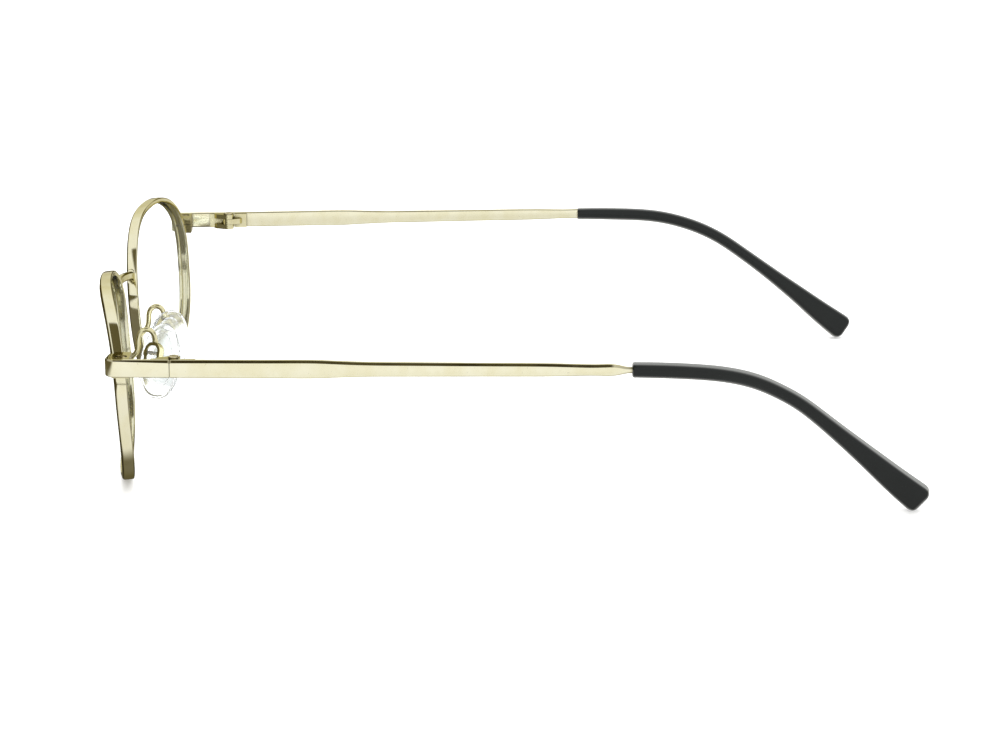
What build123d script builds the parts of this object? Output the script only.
"""Full-rim metal eyeglasses, temples open, standing on a table.

Frame: +X is the wearer's left, the front looks towards -Y, +Z is up. Millimetres.
The glasses stand on both rims and both ear tips. The origin is on the table, midway
between the two temples and midway between the front face and the ends of the ear tips.
Everything is modelled for the wearer's left and mirrored; the frame is symmetric except
that the right ear tip starts a little further forward on its wire than the left one.
"""

import math
import os

from build123d import *

# The front is laid out about a point midway between the lenses, at lens-centre height.
# These two shifts carry that point to its place above the table.
FRONT_Y = -73.36  # lens centre line to the middle of the overall depth
FRONT_Z = 18.10  # lens centre line above the table

# ---------------------------------------------------------------- shared dimensions

# rim outline and front curve
LENS_CENTRE_X = 34.0
RIM_HALF_W = 24.77  # outside of the rim
RIM_HALF_H = 18.22
RIM_SQUARENESS = 2.461  # exponent of the outline; 2 is an ellipse
RIM_TOP_WIDER = 0.061  # the outline is wider above the middle than below
RIM_DEPTH = 2.15  # front to back
RIM_WALL = 1.05  # radial thickness
BASE_RADIUS = 104.0  # radius of the front curve
FACE_FORM = 6.17  # degrees each rim is wrapped back at the temple side
PANTO = 4.48  # degrees the rims lean, tops forward

# temple line, and the flat band that the endpiece and the temple bar are made from
SPLAY = 2.5  # degrees each temple opens outwards
JOINT_X, JOINT_Y, JOINT_Z = 62.40, 14.40, 8.95  # centre of the butt joint at the hinge
BUTT_GAP = 0.08
BAND_H = 3.14
BAND_T = 1.25
BAND_INNER_X = -BAND_T / 2  # inner face, in temple coordinates

# closing block, where the rim is split
SPLIT_Z = 8.90
SPLIT_GAP = 0.12

# ---------------------------------------------------------------- helpers


def one(shape, what):
    """The single solid of a shape; anything else is an error."""
    solids = shape.solids()
    if len(solids) != 1:
        raise ValueError(f"{what}: {len(solids)} solids")
    return solids[0]


def largest(shape):
    return max(shape.solids(), key=lambda solid: solid.volume)


def soften(solid, edges, radii):
    """Round the given edges with the first of the radii that the solid accepts."""
    for radius in radii:
        # guards against a radius the kernel cannot fillet; the next one is tried
        try:
            out = solid.fillet(radius, edges)
            if out.is_valid and len(out.solids()) == 1 and out.volume > 0.5 * solid.volume:
                return out.solids()[0]
        except Exception:
            continue
    return solid


def squared_oval(angle, half_w, half_h, power, top_wider):
    """Point of a superellipse that widens upwards (or downwards if top_wider < 0)."""
    cos, sin = math.cos(angle), math.sin(angle)
    reach = (abs(cos) ** power + abs(sin) ** power) ** (-1.0 / power)
    return half_w * reach * cos * (1 + top_wider * sin), half_h * reach * sin


def even_angles(count):
    return [2 * math.pi * (i + 0.5) / count for i in range(count)]


def closed_face(points):
    """Face inside a smooth closed curve, facing +Z."""
    face = Face(Wire([Spline(*points, periodic=True)]))
    return face if face.normal_at().Z > 0 else -face


def arched_face(half_w, bottom, spring):
    """Square below, half round above; spring is the height where the arc starts."""
    left, right = (-half_w, spring), (half_w, spring)
    sides = Polyline(left, (-half_w, bottom), (half_w, bottom), right)
    return make_face(sides.edges() + [ThreePointArc(right, (0, spring + half_w), left)])


def slotted_head(radius, height, slot_w, slot_depth):
    """Screw head standing on z = 0, top edge rounded."""
    head = Pos(0, 0, height / 2) * Cylinder(radius, height)
    top = head.edges().filter_by(GeomType.CIRCLE).sort_by(Axis.Z)[-1]
    head = head.fillet(min(0.3, height * 0.45), [top])
    return head - Pos(0, 0, height) * Box(4 * radius, slot_w, 2 * slot_depth)


# ---------------------------------------------------------------- frames


def lens_location():
    """Lens coordinates: x towards the temple, y up, z out of the front."""
    wrap, lean = math.radians(FACE_FORM), math.radians(PANTO)
    outwards = Vector(math.cos(wrap), math.sin(wrap), 0)
    up = Vector(0, -math.sin(lean), math.cos(lean))
    forwards = outwards.cross(up).normalized()
    return Plane(origin=(LENS_CENTRE_X, 0, 0), x_dir=outwards, z_dir=forwards).location


LENS = lens_location()
# Temple coordinates: origin below the butt joint at z = 0, +Y back along the temple.
TEMPLE = Pos(JOINT_X, JOINT_Y, 0) * Rot(0, 0, -SPLAY)

# ---------------------------------------------------------------- rim

GROOVE_DEPTH = 0.50
GROOVE_WIDTH = 0.90
OUTER_LOOP_MIN = 2 * math.pi * 20.6  # edges longer than this are on the outside
RIM_ROUNDINGS = (0.42, 0.35, 0.28, 0.2)
SPLIT_X, SPLIT_Y = 59.0, 5.3
SPLIT_REACH = 8.0  # length and width of the split cut


def rim_outline(offset):
    """Rim outline moved outwards by offset, in lens coordinates."""

    def raw(angle):
        return squared_oval(angle, RIM_HALF_W, RIM_HALF_H, RIM_SQUARENESS, RIM_TOP_WIDER)

    points = []
    for angle in even_angles(56):
        x0, y0 = raw(angle - 1e-3)
        x1, y1 = raw(angle + 1e-3)
        dx, dy = x1 - x0, y1 - y0
        length = math.hypot(dx, dy)
        x, y = raw(angle)
        points.append((x + offset * dy / length, y - offset * dx / length))
    return points


def prism(offset):
    """Offset outline extruded both ways along the lens axis."""
    return extrude(closed_face(rim_outline(offset)), amount=9.0, both=True)


def ball(radius):
    """Ball about the centre of the front curve, in lens coordinates."""
    return Pos(0, 0, -BASE_RADIUS) * Sphere(radius)


def curved_shell(thickness):
    """Shell centred on the front curve."""
    return ball(BASE_RADIUS + thickness / 2) - ball(BASE_RADIUS - thickness / 2)


def make_rim():
    """Whole eyewire: outer edges rounded, lens groove inside."""
    ring = prism(0.0) - prism(-RIM_WALL)
    rim = one(ring & curved_shell(RIM_DEPTH), "rim ring")
    outer = [edge for edge in rim.edges() if edge.length > OUTER_LOOP_MIN]
    rim = soften(rim, outer, RIM_ROUNDINGS)
    groove = prism(-RIM_WALL + GROOVE_DEPTH) & curved_shell(GROOVE_WIDTH)
    return LENS * one(rim - groove, "rim")


rim_whole = make_rim()
rim_filled = LENS * (prism(0.0) & curved_shell(RIM_DEPTH))  # rim with its opening filled
rim_prism = LENS * prism(0.0)

# the rim is cut open inside the closing block
split = Pos(SPLIT_X, SPLIT_Y, SPLIT_Z) * Box(SPLIT_REACH, SPLIT_REACH, SPLIT_GAP)
rim = one(rim_whole - split, "rim split")

# ---------------------------------------------------------------- lens

LENS_FRONT_OUT = 0.75  # lens front ahead of the front curve
LENS_BACK_RADIUS = 88.0
LENS_CENTRE_T = 1.60
LENS_GAP = 0.03  # all round, inside the rim
LENS_TONGUE = 0.46  # reach into the groove
LENS_TONGUE_WIDTH = 0.82
TONGUE_ROOT = 2.0  # how far the tongue ring runs into the lens


def make_lens():
    back_centre = LENS_FRONT_OUT - LENS_CENTRE_T - LENS_BACK_RADIUS
    body = prism(-RIM_WALL - LENS_GAP) & ball(BASE_RADIUS + LENS_FRONT_OUT)
    body = body - Pos(0, 0, back_centre) * Sphere(LENS_BACK_RADIUS)
    tongue = prism(-RIM_WALL + LENS_TONGUE) & curved_shell(LENS_TONGUE_WIDTH)
    tongue = tongue - prism(-RIM_WALL - TONGUE_ROOT)
    return LENS * one(body + tongue, "lens")


# ---------------------------------------------------------------- bridge

BRIDGE_H = 1.65
BRIDGE_T = 1.30
BRIDGE_EDGE_R = 0.45
BRIDGE_END = (9.75, -0.42, 8.8)
BRIDGE_SHOULDER = (6.6, -1.0, BRIDGE_END[2] + 0.52)
BRIDGE_MID_Y, BRIDGE_MID_Z = -1.55, 9.9
TAB_H, TAB_T = 2.66, 1.25  # end tabs lapped on the rims
TAB_EDGE_R = 0.55
TAB_HALF_W = 1.15
TAB_X, TAB_Y, TAB_Z = 9.85, -0.38, 8.62
TAB_OVER_RIM = 0.55  # the tab stands this far out from the rim outline


def make_bridge():
    def other_side(point):
        return (-point[0], *point[1:])

    path = Spline(
        other_side(BRIDGE_END),
        other_side(BRIDGE_SHOULDER),
        (0, BRIDGE_MID_Y, BRIDGE_MID_Z),
        BRIDGE_SHOULDER,
        BRIDGE_END,
        tangents=[(1, -0.16, 0.22), (1, 0.16, -0.22)],
    )
    start = Plane(origin=path @ 0, x_dir=(0, 1, 0), z_dir=path % 0)
    section = start * RectangleRounded(BRIDGE_T, BRIDGE_H, BRIDGE_EDGE_R)
    bar = sweep(section, path=path, is_frenet=False)
    tab = Pos(TAB_X, TAB_Y, TAB_Z) * Rot(0, 90, 0) * extrude(
        RectangleRounded(TAB_H, TAB_T, TAB_EDGE_R), amount=TAB_HALF_W, both=True
    )
    tab = tab & (LENS * prism(TAB_OVER_RIM))
    body = bar + tab + mirror(tab, about=Plane.YZ)
    return largest(body - rim_prism - mirror(rim_prism, about=Plane.YZ))


# ---------------------------------------------------------------- endpiece band

BAND_LEN = 11.55  # butt joint forward to the front face of the return
CORNER_R = 1.9  # outside of the corner
RETURN_IN_X, RETURN_IN_Y = 57.0, 3.6  # inboard end of the return in front of the rim
RETURN_SET_BACK = 0.10  # the inboard end lies this much further back
BAND_ROUNDINGS = (0.30, 0.24, 0.18, 0.12)


def make_endpiece():
    """Flat band: return in front of the rim, round corner, straight back to the butt joint."""
    half = BAND_T / 2
    centre_y = -BAND_LEN + half
    inboard_x = (TEMPLE.inverse() * Pos(RETURN_IN_X, RETURN_IN_Y, 0)).position.X
    corner_r = CORNER_R - half  # along the band's centre line
    corner_start = (-corner_r, centre_y)
    corner_end = (0, centre_y + corner_r)
    with BuildLine() as line:
        Line((inboard_x, centre_y + RETURN_SET_BACK), corner_start)
        TangentArc(corner_start, corner_end, tangent=(1, -0.02))
        Line(corner_end, (0, -BUTT_GAP / 2))
    path = line.wire()
    start = Plane(origin=path @ 0, x_dir=(0, 0, 1), z_dir=path % 0)
    band = sweep(start * Rectangle(BAND_H, BAND_T), path=path, transition=Transition.ROUND)
    band = one(band, "band")
    long_edges = [
        edge
        for edge in band.edges()
        if edge.length > 1.5 and abs(abs(edge.center().Z) - BAND_H / 2) < 1e-3
    ]
    band = soften(band, long_edges, BAND_ROUNDINGS)
    band = TEMPLE * Pos(0, 0, JOINT_Z) * band
    return one(band - rim_filled, "endpiece")


endpiece = make_endpiece()

# ---------------------------------------------------------------- closing blocks and screw

BLOCK_X0, BLOCK_X1 = 56.6, 63.0  # before trimming to the band
BLOCK_Y0, BLOCK_Y1 = 4.05, 7.20
BLOCK_TOP_Z = 10.48
BLOCK_BOT_Z = 6.95
CLOSE_X, CLOSE_Y = 59.75, 5.62
CLOSE_R = 0.60
CLOSE_HEAD_R = 0.98
CLOSE_HEAD_H = 0.60
CLOSE_SEAT_Z = BLOCK_TOP_Z - 0.72  # underside of the head
CLOSE_HEAD_TURN = 35  # degrees
HEAD_OVERLAP = 0.02  # shank runs this far into the head
UPPER_CLEAR, LOWER_CLEAR, HEAD_CLEAR = 0.04, 0.005, 0.12  # radial


def make_block(z0, z1):
    block = Pos((BLOCK_X0 + BLOCK_X1) / 2, (BLOCK_Y0 + BLOCK_Y1) / 2, (z0 + z1) / 2) * Box(
        BLOCK_X1 - BLOCK_X0, BLOCK_Y1 - BLOCK_Y0, z1 - z0
    )
    # ends at the inner face of the band
    keep = TEMPLE * Pos(-20 + BAND_INNER_X, 0, JOINT_Z) * Box(40, 60, 20)
    return (block & keep) - rim_prism - endpiece


def closing_hole(clearance):
    return Pos(CLOSE_X, CLOSE_Y, SPLIT_Z) * Cylinder(CLOSE_R + clearance, 8)


def make_upper_block():
    block = make_block(SPLIT_Z + SPLIT_GAP / 2, BLOCK_TOP_Z) - closing_hole(UPPER_CLEAR)
    sink_h = 4
    sink = Cylinder(CLOSE_HEAD_R + HEAD_CLEAR, sink_h)
    block = block - Pos(CLOSE_X, CLOSE_Y, CLOSE_SEAT_Z + sink_h / 2) * sink
    return one(block, "closing block upper")


def make_lower_block():
    block = make_block(BLOCK_BOT_Z, SPLIT_Z - SPLIT_GAP / 2) - closing_hole(LOWER_CLEAR)
    return one(block, "closing block lower")


def make_closing_screw():
    head = slotted_head(CLOSE_HEAD_R, CLOSE_HEAD_H, slot_w=0.26, slot_depth=0.24)
    head = Pos(0, 0, CLOSE_SEAT_Z) * Rot(0, 0, CLOSE_HEAD_TURN) * head
    top, bottom = CLOSE_SEAT_Z + HEAD_OVERLAP, BLOCK_BOT_Z - 0.05
    shank = Pos(0, 0, (top + bottom) / 2) * Cylinder(CLOSE_R, top - bottom)
    return one(Pos(CLOSE_X, CLOSE_Y, 0) * (shank + head), "closing screw")


# ---------------------------------------------------------------- hinge

KNUCKLE_R = 1.15
AXIS_X = -1.90  # hinge axis inboard of the band centre line
AXIS_Y = 0.50  # hinge axis behind the butt joint
HINGE_H = 3.12
HINGE_BOT, HINGE_TOP = JOINT_Z - HINGE_H / 2, JOINT_Z + HINGE_H / 2
MID_KNUCKLE_H = 1.10
KNUCKLE_GAP = 0.05  # above and below the middle knuckle
POCKET_CLEAR = 0.10  # radial, round the middle knuckle
HINGE_PIN_R = 0.50
PIN_TIGHT, PIN_CLEAR = 0.005, 0.04  # radial, in the front and middle knuckles
LEAF_T = 0.70
LEAF_H = BAND_H - 0.2
LEAF_NEAR = KNUCKLE_R + 0.22  # leaf ends, measured from the hinge axis
LEAF_FAR = KNUCKLE_R + 2.75
PIN_HEAD_R, PIN_HEAD_H = 0.92, 0.26
PIN_HEAD_TURN = 62  # degrees


def on_axis(z):
    return Pos(AXIS_X, AXIS_Y, z)


def knuckle(z0, z1, side):
    """Barrel segment and the web that ties it to its leaf; side -1 front, +1 rear."""
    height = z1 - z0
    barrel = on_axis((z0 + z1) / 2) * Cylinder(KNUCKLE_R, height)
    # the web runs from the barrel's leaf side out to the leaf, clear of the butt joint
    web_outline = Polyline(
        (AXIS_X - KNUCKLE_R * 0.80, AXIS_Y + side * KNUCKLE_R * 0.60),
        (AXIS_X - 0.15, AXIS_Y + side * (KNUCKLE_R + 1.35)),
        (BAND_INNER_X, AXIS_Y + side * (KNUCKLE_R + 2.2)),
        (BAND_INNER_X, AXIS_Y + side * LEAF_NEAR),
        (AXIS_X + KNUCKLE_R * 0.80, AXIS_Y + side * KNUCKLE_R * 0.60),
        close=True,
    )
    return barrel + Pos(0, 0, z0) * extrude(make_face(web_outline), amount=height)


def leaf(side):
    """Plate on the band's inner face."""
    middle_y = AXIS_Y + side * (LEAF_NEAR + LEAF_FAR) / 2
    plate = Box(LEAF_T, LEAF_FAR - LEAF_NEAR, LEAF_H)
    return Pos(BAND_INNER_X - LEAF_T / 2, middle_y, JOINT_Z) * plate


def make_hinge_front():
    mid_room = MID_KNUCKLE_H / 2 + KNUCKLE_GAP
    front = (
        knuckle(JOINT_Z + mid_room, HINGE_TOP, -1)
        + knuckle(HINGE_BOT, JOINT_Z - mid_room, -1)
        + leaf(-1)
    )
    # the middle knuckle turns inside a pocket in the front leaf
    pocket = on_axis(JOINT_Z) * Cylinder(KNUCKLE_R + POCKET_CLEAR, 2 * mid_room)
    drill = on_axis(JOINT_Z) * Cylinder(HINGE_PIN_R + PIN_TIGHT, 12)
    return TEMPLE * one(front - pocket - drill, "hinge front")


def make_hinge_rear():
    rear = knuckle(JOINT_Z - MID_KNUCKLE_H / 2, JOINT_Z + MID_KNUCKLE_H / 2, 1) + leaf(1)
    drill = on_axis(JOINT_Z) * Cylinder(HINGE_PIN_R + PIN_CLEAR, 12)
    return TEMPLE * one(rear - drill, "hinge rear")


def make_hinge_screw():
    head = slotted_head(PIN_HEAD_R, PIN_HEAD_H, slot_w=0.24, slot_depth=0.14)
    head = Pos(0, 0, HINGE_TOP + 0.02) * Rot(0, 0, PIN_HEAD_TURN) * head
    top = HINGE_TOP + 0.05
    shank = Pos(0, 0, (HINGE_BOT + top) / 2) * Cylinder(HINGE_PIN_R, top - HINGE_BOT)
    return TEMPLE * one(on_axis(0) * (head + shank), "hinge screw")


# ---------------------------------------------------------------- temple line behind the bar

# distance behind the butt joint, sideways shift (inward is negative),
# height above the lens centre line
TIP_PATH = [
    (66.0, 0.00, 9.333),
    (72.0, 0.00, 9.366),
    (78.0, 0.00, 9.39),
    (82.0, -0.03, 9.37),
    (86.0, -0.18, 9.28),
    (90.7, -0.55, 9.03),
    (95.6, -1.20, 8.42),
    (100.6, -2.05, 7.15),
    (105.6, -2.90, 5.10),
    (110.5, -3.62, 2.10),
    (115.5, -4.22, -1.75),
    (120.5, -4.62, -5.80),
    (125.5, -4.85, -9.97),
    (130.0, -4.98, -13.83),
    (133.0, -5.05, -16.42),
]
TIP_LINE = Spline(*[(x, y, z) for y, x, z in TIP_PATH])

WIRE_R = 0.58  # core wire of the temple
WIRE_END = 120.5
NECK_END = 80.6
WIRE_START = NECK_END - 0.8


def tip_parameter(y):
    """Parameter where the line is y behind the butt joint, by bisection."""
    low, high = 0.0, 1.0
    for _ in range(50):
        middle = (low + high) / 2
        if (TIP_LINE @ middle).Y < y:
            low = middle
        else:
            high = middle
    return (low + high) / 2


def tip_plane(y):
    """Plane square to the line, its x axis outwards."""
    at = tip_parameter(y)
    along = TIP_LINE % at
    side = Vector(1, 0, 0) - along * along.X
    return Plane(origin=TIP_LINE @ at, x_dir=side.normalized(), z_dir=along)


def round_bar(path, radius):
    start = Plane(origin=path @ 0, z_dir=path % 0)
    return sweep(start * Circle(radius), path=path)


def tip_rod(y0, y1, radius):
    """Round rod along the line between two distances."""
    return round_bar(TIP_LINE.trim(tip_parameter(y0), tip_parameter(y1)), radius)


# ---------------------------------------------------------------- temple bar and core wire

# distance behind the butt joint, height
BAR_HEIGHTS = [
    (0.0, 3.14),
    (10.0, 3.16),
    (20.0, 3.20),
    (26.5, 3.14),
    (29.2, 2.92),
    (31.8, 2.72),
    (34.5, 2.57),
    (39.8, 2.48),
    (47.8, 2.41),
    (58.3, 2.27),
    (68.8, 2.05),
    (75.6, 1.86),
    (78.7, 1.66),
    (WIRE_START, 1.27),
    (NECK_END, 1.14),
]
BAR_RISE = 0.0058  # rise of the temple line per mm
# outer side seen from above: sideways, distance; full thickness up to 45, then thinner
BAR_PLAN = [
    (BAND_T / 2 + 1, -1),
    (BAND_T / 2 + 1, 45),
    (BAND_T / 2, 45),
    (0.58, 79.5),
    (0.55, 82),
]
BAR_ROUNDINGS = (0.40, 0.34, 0.26, 0.2, 0.15)


def make_temple():
    def bar_edge(side):
        return [
            (max(y, BUTT_GAP / 2), JOINT_Z + BAR_RISE * y + side * height / 2)
            for y, height in BAR_HEIGHTS
        ]

    top, bottom = bar_edge(1), bar_edge(-1)
    with BuildLine() as profile:
        Spline(*top)
        Line(top[-1], bottom[-1])
        Spline(*bottom[::-1])
        Line(bottom[0], top[0])
    bar = extrude(Plane.YZ * make_face(profile.edges()), amount=BAND_T / 2, both=True)
    bar = one(bar, "bar")
    inner_side = [(-x, y) for x, y in reversed(BAR_PLAN)]
    plan = extrude(make_face(Polyline(*BAR_PLAN, *inner_side, close=True)), amount=40)
    bar = one(bar & plan, "bar plan")
    bar = soften(bar, [edge for edge in bar.edges() if edge.length > 20], BAR_ROUNDINGS)
    return one(TEMPLE * (bar + tip_rod(WIRE_START, WIRE_END, WIRE_R)), "temple")


# ---------------------------------------------------------------- ear tips

# distance behind the butt joint, section height, section thickness
TIP_SIZE = [
    (74.0, 2.28, 2.30),
    (78.0, 2.28, 2.32),
    (82.0, 2.28, 2.36),
    (86.0, 2.30, 2.38),
    (90.7, 2.30, 2.40),
    (95.6, 2.30, 2.40),
    (100.6, 2.30, 2.40),
    (105.6, 2.30, 2.42),
    (110.5, 2.38, 2.44),
    (115.5, 2.74, 2.50),
    (120.5, 3.38, 2.58),
    (125.5, 4.22, 2.64),
    (130.0, 4.92, 2.70),
    (133.0, 5.15, 2.70),
]
# the same columns, for the socket that takes the end of the neck
NECK_SOCKET = [
    (74.5, 1.98, 1.34),
    (77.4, 1.90, 1.32),
    (78.8, 1.84, 1.32),
    (80.0, 1.50, 1.30),
    (81.4, 1.22, 1.22),
]
TIP_EDGE_R = 0.55
SOCKET_EDGE_R = 0.3
TIP_ROLL = 13.0  # degrees the covers lean, tops outwards
TIP_START_LEFT = 81.0
TIP_START_RIGHT = 76.2
MIN_STATION_GAP = 2.5  # from the mouth to the next section
BORE_START = 74.0
BORE_END_GAP = 0.4  # bore runs on past the wire
BORE_CLEAR = 0.03
MOUTH_ROUNDINGS = (0.45, 0.35, 0.25, 0.15)
END_ROUNDINGS = (1.0, 0.8, 0.6, 0.45, 0.3)


def tip_size(y):
    """Section height and thickness, interpolated between stations."""
    for (y0, *size0), (y1, *size1) in zip(TIP_SIZE, TIP_SIZE[1:]):
        if y0 <= y <= y1:
            part = (y - y0) / (y1 - y0)
            return [a + part * (b - a) for a, b in zip(size0, size1)]


def round_end(body, point, radii):
    """Round the edges of the face nearest to a point."""
    face = min(body.faces(), key=lambda face: (face.center() - point).length)
    return soften(body, face.edges(), radii)


def make_tip(start):
    sections = []
    for y in [start] + [row[0] for row in TIP_SIZE if row[0] > start + MIN_STATION_GAP]:
        height, thickness = tip_size(y)
        section = RectangleRounded(thickness, height, TIP_EDGE_R)
        sections.append(tip_plane(y) * Rot(0, 0, TIP_ROLL) * section)
    body = one(loft(sections), "tip loft")
    body = round_end(body, TIP_LINE @ tip_parameter(start), MOUTH_ROUNDINGS)
    body = round_end(body, TIP_LINE @ 1, END_ROUNDINGS)
    bore = tip_rod(BORE_START, WIRE_END + BORE_END_GAP, WIRE_R + BORE_CLEAR)
    body = one(body - bore, "tip bored")
    # a cover that reaches over the neck also needs the socket
    if start < NECK_END + 0.4:
        socket = [
            tip_plane(y) * RectangleRounded(thickness, height, SOCKET_EDGE_R)
            for y, height, thickness in NECK_SOCKET
        ]
        body = one(body - loft(socket, ruled=True), "tip mouth")
    return TEMPLE * body


# ---------------------------------------------------------------- nose pad

PAD_CENTRE = (7.35, 6.9, -4.3)
PAD_SPLAY = 24.0  # degrees the rear edge stands out from straight back
PAD_FRONTAL = 18.0  # degrees the pad leans, top inwards
PAD_H, PAD_W, PAD_T = 14.6, 8.5, 2.3
PAD_FRONT_DOME_R = 21.0  # contact side
PAD_BACK_DOME_R = 40.0
PAD_ROUNDINGS = (0.6, 0.5, 0.4, 0.3)
CORE_H, CORE_W, CORE_T = 10.8, 5.3, 0.75
CORE_UP = 0.15  # core plate above the pad's middle
CORE_Z = -0.05  # contact side of the core plate
CORE_ROOM = 0.02  # all round, inside the pad
BOSS_HALF_W = 1.0
BOSS_BOTTOM, BOSS_SPRING = -1.5, 0.5  # from the cross screw
BOSS_PAST_SCREW = 0.75
BOX_UP = 1.3  # cross screw above the pad's middle
BOX_OUT = 3.05  # cross screw behind the pad's middle plane
BOX_W, BOX_H, BOX_D = 3.3, 4.3, 1.7
BOX_WALL = 0.52
PAD_SCREW_R = 0.40
PAD_HEAD_R, PAD_HEAD_H = 0.72, 0.42


def pad_plane():
    """Pad coordinates: x from forward to rear edge, y up the pad, z out of its back."""
    splay, lean = math.radians(PAD_SPLAY), math.radians(PAD_FRONTAL)
    across = Vector(math.sin(splay), math.cos(splay), 0)
    level_back = Vector(math.cos(splay), -math.sin(splay), 0)
    up = Vector(0, 0, 1) * math.cos(lean) - level_back * math.sin(lean)
    return Plane(origin=PAD_CENTRE, x_dir=across, z_dir=across.cross(up).normalized())


PAD_PLANE = pad_plane()
PAD = PAD_PLANE.location


def egg(width, height):
    """Pad outline, wider below."""
    return closed_face(
        [
            squared_oval(angle, width / 2, height / 2, power=2.25, top_wider=-0.10)
            for angle in even_angles(28)
        ]
    )


def core_plate(room):
    face = egg(CORE_W + 2 * room, CORE_H + 2 * room)
    return Pos(0, CORE_UP, CORE_Z - room) * extrude(face, amount=CORE_T + 2 * room)


def boss(room, z0, height):
    """Block on the core that nests in the box's arch."""
    face = arched_face(BOSS_HALF_W + room, BOSS_BOTTOM - room, BOSS_SPRING)
    return Pos(0, BOX_UP, z0) * extrude(face, amount=height)


def cross_hole(clearance):
    return Pos(0, BOX_UP, BOX_OUT) * Rot(0, 90, 0) * Cylinder(PAD_SCREW_R + clearance, 6)


def make_pad():
    slab = Pos(0, 0, -PAD_T / 2) * extrude(egg(PAD_W, PAD_H), amount=PAD_T)
    front = Pos(0, 0, -PAD_T / 2 + PAD_FRONT_DOME_R) * Sphere(PAD_FRONT_DOME_R)
    back = Pos(0, 0, PAD_T / 2 - PAD_BACK_DOME_R) * Sphere(PAD_BACK_DOME_R)
    pad = one((slab & front) & back, "pad slab")
    pad = soften(pad, pad.edges(), PAD_ROUNDINGS)
    pad = pad - core_plate(CORE_ROOM) - boss(CORE_ROOM, z0=0, height=4.0)
    return one(PAD * pad, "pad")


def make_core():
    """Plate set in the pad, with the boss that the cross screw runs through."""
    boss_z = CORE_Z + 0.1
    core = core_plate(0.0) + boss(0.0, z0=boss_z, height=BOX_OUT + BOSS_PAST_SCREW - boss_z)
    return one(PAD * (core - cross_hole(0.04)), "core")


def make_box():
    """Arched bracket, open below, front and back."""
    spring = (BOX_H - BOX_W) / 2
    middle = Pos(0, BOX_UP, 0)
    outer = middle * arched_face(BOX_W / 2, -BOX_H / 2, spring)
    inner = middle * arched_face(BOX_W / 2 - BOX_WALL, -BOX_H / 2 - 1, spring)
    body = extrude(outer, amount=BOX_D) - extrude(inner, amount=BOX_D)
    body = one(Pos(0, 0, BOX_OUT - BOX_D / 2) * body, "pad box blank")
    return one(PAD * one(body - cross_hole(0.005), "pad box"), "box")


def make_pad_screw():
    """Cross screw, its head on the forward side of the box."""
    shank = Pos(-0.05, 0, 0) * Rot(0, 90, 0) * Cylinder(PAD_SCREW_R, BOX_W + 0.1)
    head = Rot(0, -90, 0) * slotted_head(PAD_HEAD_R, PAD_HEAD_H, slot_w=0.22, slot_depth=0.18)
    screw = shank + Pos(-BOX_W / 2 - 0.01, 0, 0) * head
    return one(PAD * one(Pos(0, BOX_UP, BOX_OUT) * screw, "pad screw"), "pad screw placed")


pad_box = make_box()

# ---------------------------------------------------------------- pad arm

ARM_R = 0.50
ARM_INTO_BOX = 0.15  # the arm's end lies below the box's top
# x, y, z from the rim up, over and down towards the box
ARM_PATH = [
    (9.42, 1.35, -2.95),
    (9.62, 2.50, -1.85),
    (9.60, 2.92, -0.40),
    (9.54, 3.02, 1.00),
    (9.47, 3.50, 2.10),
    (9.40, 4.58, 2.62),
    (9.28, 5.62, 2.10),
    (9.14, 6.06, 1.00),
]


def make_arm():
    box_top = (PAD * Pos(0, BOX_UP + BOX_H / 2 - ARM_INTO_BOX, BOX_OUT)).position
    points = [Vector(*point) for point in ARM_PATH] + [box_top]
    down_pad = tuple(PAD_PLANE.y_dir * -1)
    path = Spline(*points, tangents=[(-0.2, 1.0, 0.55), down_pad])
    arm = largest(round_bar(path, ARM_R) - pad_box)
    return largest(arm - rim_whole)


# ---------------------------------------------------------------- collect, mirror, place

left = {
    "rim": rim,
    "lens": one(make_lens(), "lens placed"),
    "closing_block_upper": make_upper_block(),
    "closing_block_lower": make_lower_block(),
    "closing_screw": make_closing_screw(),
    "endpiece": endpiece,
    "hinge_front": make_hinge_front(),
    "hinge_rear": make_hinge_rear(),
    "hinge_screw": make_hinge_screw(),
    "temple": make_temple(),
    "ear_tip": make_tip(TIP_START_LEFT),
    "pad_arm": make_arm(),
    "pad_box": pad_box,
    "pad_screw": make_pad_screw(),
    "nose_pad": make_pad(),
    "pad_core": make_core(),
}
# the right side before mirroring
right = {**left, "ear_tip": make_tip(TIP_START_RIGHT)}

shapes = {f"{name}_left": shape for name, shape in left.items()}
for name, shape in right.items():
    shapes[f"{name}_right"] = mirror(shape, about=Plane.YZ)
shapes["bridge"] = make_bridge()

os.makedirs("parts", exist_ok=True)
for name, shape in shapes.items():
    solid = one(Pos(0, FRONT_Y, FRONT_Z) * shape, name)
    solid.label = name
    export_step(solid, f"parts/{name}.step")
